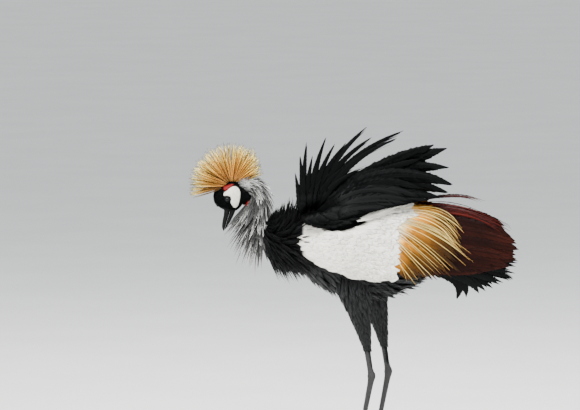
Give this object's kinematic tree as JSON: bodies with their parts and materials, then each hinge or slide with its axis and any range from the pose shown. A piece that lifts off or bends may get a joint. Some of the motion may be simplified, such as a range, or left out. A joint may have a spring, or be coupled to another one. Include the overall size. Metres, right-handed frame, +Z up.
{
  "type": "grey crowned crane",
  "caption": "Life-size crane standing with bowed, crested head, raised back plumes and half-lowered white, gold and chestnut wings",
  "frame": {"origin": "on the ground, under the middle of the crane's box", "axes": "+Z up; the crane faces -X; its left side is -Y"},
  "size_m": [0.7798, 0.2362, 0.8056],
  "materials": {
    "feathers_black": "soft black feather with a faint sheen",
    "feathers_grey": "pale grey pointed plumes",
    "feathers_white": "white wing coverts",
    "feathers_gold": "golden coverts with pale shafts",
    "feathers_chestnut": "dark chestnut flight feathers",
    "bristles": "straw-gold crest bristles",
    "velvet": "velvety black head feathers",
    "cheek_skin": "bare white skin",
    "red_skin": "bare red skin",
    "horn": "dark horn, satin",
    "leg_scales": "dark scaled skin",
    "eye": "wet pale blue-grey eye"
  },
  "bodies": {
    "root": {"torso": "feathers_black", "head": "velvet", "bill_upper": "horn", "bill_lower": "horn", "eye_left": "eye", "eye_right": "eye", "cheek_left": "cheek_skin", "cheek_right": "cheek_skin", "wattle": "red_skin", "neck_upper": "feathers_grey", "neck_middle": "feathers_grey", "neck_lower": "feathers_black", "crest": "bristles", "mantle": "feathers_black", "tail": "feathers_black", "scapulars_left": "feathers_black", "wing_left": "feathers_white", "wing_left_coverts": "feathers_gold", "wing_left_secondaries": "feathers_chestnut", "wing_left_primaries": "feathers_black", "thigh_left": "feathers_black", "shank_left": "leg_scales", "foot_left": "leg_scales", "scapulars_right": "feathers_black", "wing_right": "feathers_white", "wing_right_coverts": "feathers_gold", "wing_right_secondaries": "feathers_chestnut", "wing_right_primaries": "feathers_black", "thigh_right": "feathers_black", "shank_right": "leg_scales", "foot_right": "leg_scales"}
  },
  "joints": []
}
